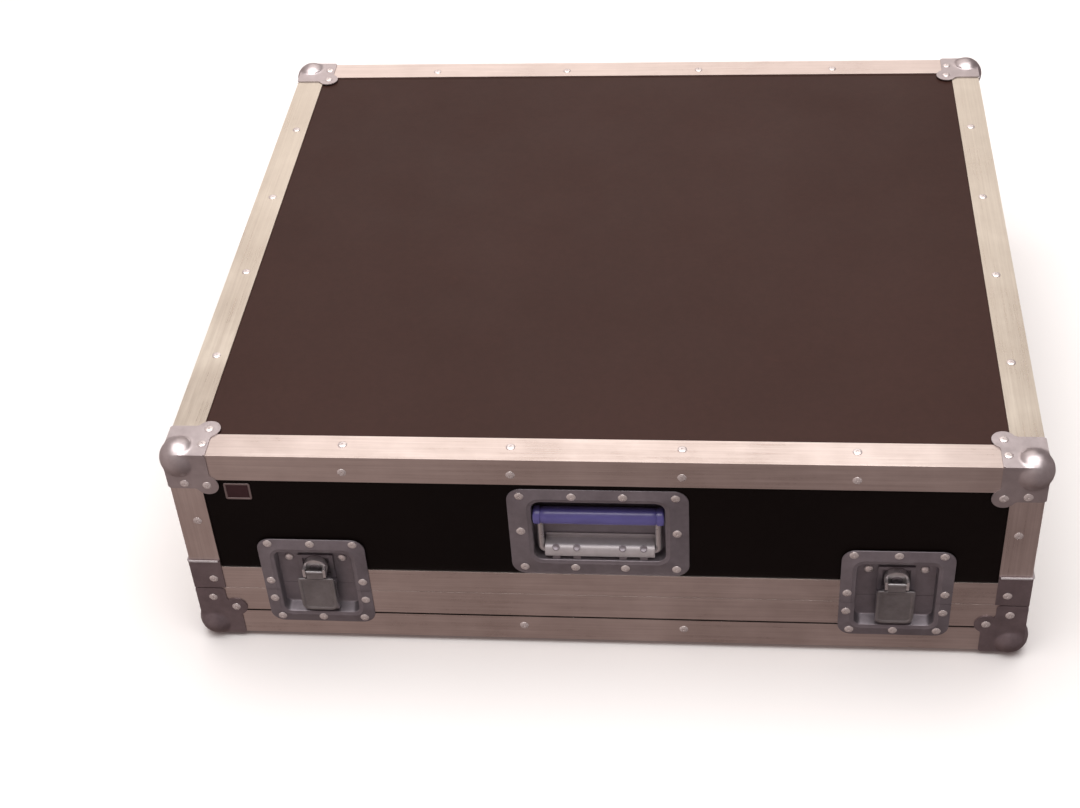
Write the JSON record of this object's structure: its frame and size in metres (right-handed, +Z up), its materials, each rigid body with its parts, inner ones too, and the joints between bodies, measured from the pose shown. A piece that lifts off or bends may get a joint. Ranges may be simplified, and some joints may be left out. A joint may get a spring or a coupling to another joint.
{
  "type": "flight case",
  "caption": "Low flight case with a deep hinged lid, aluminium edging, ball corners, recessed butterfly latches and a recessed spring handle.",
  "frame": {"origin": "on the floor, under the middle of the case", "axes": "+X to the right as seen from the latches, +Y to the hinges, +Z up"},
  "size_m": [0.809, 0.7197, 0.249],
  "materials": {
    "brown_laminate": "plywood faced with satin brown laminate",
    "dark_laminate": "plywood faced with satin near-black laminate",
    "edging_aluminium": "mill-finish extrusion with fine lengthwise lines",
    "zinc_steel": "bright zinc-plated pressed steel",
    "rivet_aluminium": "bare domed rivet",
    "plate_aluminium": "blank dull plate",
    "grip_vinyl": "moulded blue-violet vinyl, smooth",
    "lining_foam": "charcoal foam lining"
  },
  "bodies": {
    "lid": {"lid_top_panel": "brown_laminate", "lid_front_panel": "dark_laminate", "lid_right_panel": "dark_laminate", "lid_back_panel": "dark_laminate", "lid_left_panel": "dark_laminate", "lid_top_edge_front": "edging_aluminium", "lid_top_edge_right": "edging_aluminium", "lid_top_edge_back": "edging_aluminium", "lid_top_edge_left": "edging_aluminium", "lid_rim_front": "edging_aluminium", "lid_rim_right": "edging_aluminium", "lid_rim_back": "edging_aluminium", "lid_rim_left": "edging_aluminium", "lid_corner_edges": "edging_aluminium", "lid_ball_corners": "zinc_steel", "lid_rim_braces": "zinc_steel", "lid_foam_top": "lining_foam", "lid_foam_walls": "lining_foam", "lid_rivets": "rivet_aluminium", "handle_dish": "zinc_steel", "handle_spring_bracket": "zinc_steel", "handle_springs": "zinc_steel", "name_plate": "plate_aluminium", "latch_dish_left": "zinc_steel", "latch_dish_right": "zinc_steel", "hinge_lid_leaves": "zinc_steel"},
    "base": {"base_bottom_panel": "brown_laminate", "base_front_panel": "dark_laminate", "base_right_panel": "dark_laminate", "base_back_panel": "dark_laminate", "base_left_panel": "dark_laminate", "base_edge_front": "edging_aluminium", "base_edge_right": "edging_aluminium", "base_edge_back": "edging_aluminium", "base_edge_left": "edging_aluminium", "base_rim_front": "edging_aluminium", "base_rim_right": "edging_aluminium", "base_rim_back": "edging_aluminium", "base_rim_left": "edging_aluminium", "base_ball_corners": "zinc_steel", "base_foam_floor": "lining_foam", "base_foam_walls": "lining_foam", "base_rivets": "rivet_aluminium", "keeper_dish_left": "zinc_steel", "keeper_dish_right": "zinc_steel", "hinge_base_leaves": "zinc_steel", "hinge_pins": "zinc_steel"},
    "handle": {"handle_bail": "zinc_steel", "handle_grip": "grip_vinyl"},
    "rotor_left": {"latch_rotor_left": "zinc_steel", "latch_wing_pin_left": "zinc_steel"},
    "wing_left": {"latch_wing_left": "zinc_steel"},
    "draw_left": {"draw_plate_left": "zinc_steel"},
    "hook_left": {"latch_hook_left": "zinc_steel"},
    "rotor_right": {"latch_rotor_right": "zinc_steel", "latch_wing_pin_right": "zinc_steel"},
    "wing_right": {"latch_wing_right": "zinc_steel"},
    "draw_right": {"draw_plate_right": "zinc_steel"},
    "hook_right": {"latch_hook_right": "zinc_steel"}
  },
  "joints": [
    {"name": "lid_hinge", "type": "hinge", "parent": "base", "child": "lid", "pos_m": [0, 0.357, 0.06915], "axis": [-1, 0, 0], "range_deg": [0, 100]},
    {"name": "handle_swing", "type": "hinge", "parent": "lid", "child": "handle", "pos_m": [0, -0.3441, 0.125], "axis": [1, 0, 0], "range_deg": [0, 90], "stiffness_Nm_per_rad": 0.35, "springref_deg": -28.65},
    {"name": "latch_left_turn", "type": "hinge", "parent": "lid", "child": "rotor_left", "pos_m": [-0.2755, -0.3465, 0.096], "axis": [0, -1, 0], "range_deg": [0, 180]},
    {"name": "latch_left_wing", "type": "hinge", "parent": "rotor_left", "child": "wing_left", "pos_m": [-0.2755, -0.3551, 0.096], "axis": [-1, 0, 0], "range_deg": [0, 180]},
    {"name": "latch_left_draw", "type": "slide", "parent": "lid", "child": "draw_left", "axis": [0, 0, 1], "range_m": [0, 0.005]},
    {"name": "latch_left_hook_swing", "type": "hinge", "parent": "draw_left", "child": "hook_left", "pos_m": [-0.2755, -0.3453, 0.0755], "axis": [1, 0, 0], "range_deg": [0, 5]},
    {"name": "latch_right_turn", "type": "hinge", "parent": "lid", "child": "rotor_right", "pos_m": [0.2755, -0.3465, 0.096], "axis": [0, -1, 0], "range_deg": [0, 180]},
    {"name": "latch_right_wing", "type": "hinge", "parent": "rotor_right", "child": "wing_right", "pos_m": [0.2755, -0.3551, 0.096], "axis": [-1, 0, 0], "range_deg": [0, 180]},
    {"name": "latch_right_draw", "type": "slide", "parent": "lid", "child": "draw_right", "axis": [0, 0, 1], "range_m": [0, 0.005]},
    {"name": "latch_right_hook_swing", "type": "hinge", "parent": "draw_right", "child": "hook_right", "pos_m": [0.2755, -0.3453, 0.0755], "axis": [1, 0, 0], "range_deg": [0, 5]}
  ],
  "couplings": [
    {"joint": "latch_left_draw", "follows": "latch_left_turn", "m_per_rad": 0.0015915},
    {"joint": "latch_left_hook_swing", "follows": "latch_left_turn", "ratio": 0.027778},
    {"joint": "latch_right_draw", "follows": "latch_right_turn", "m_per_rad": 0.0015915},
    {"joint": "latch_right_hook_swing", "follows": "latch_right_turn", "ratio": 0.027778}
  ]
}
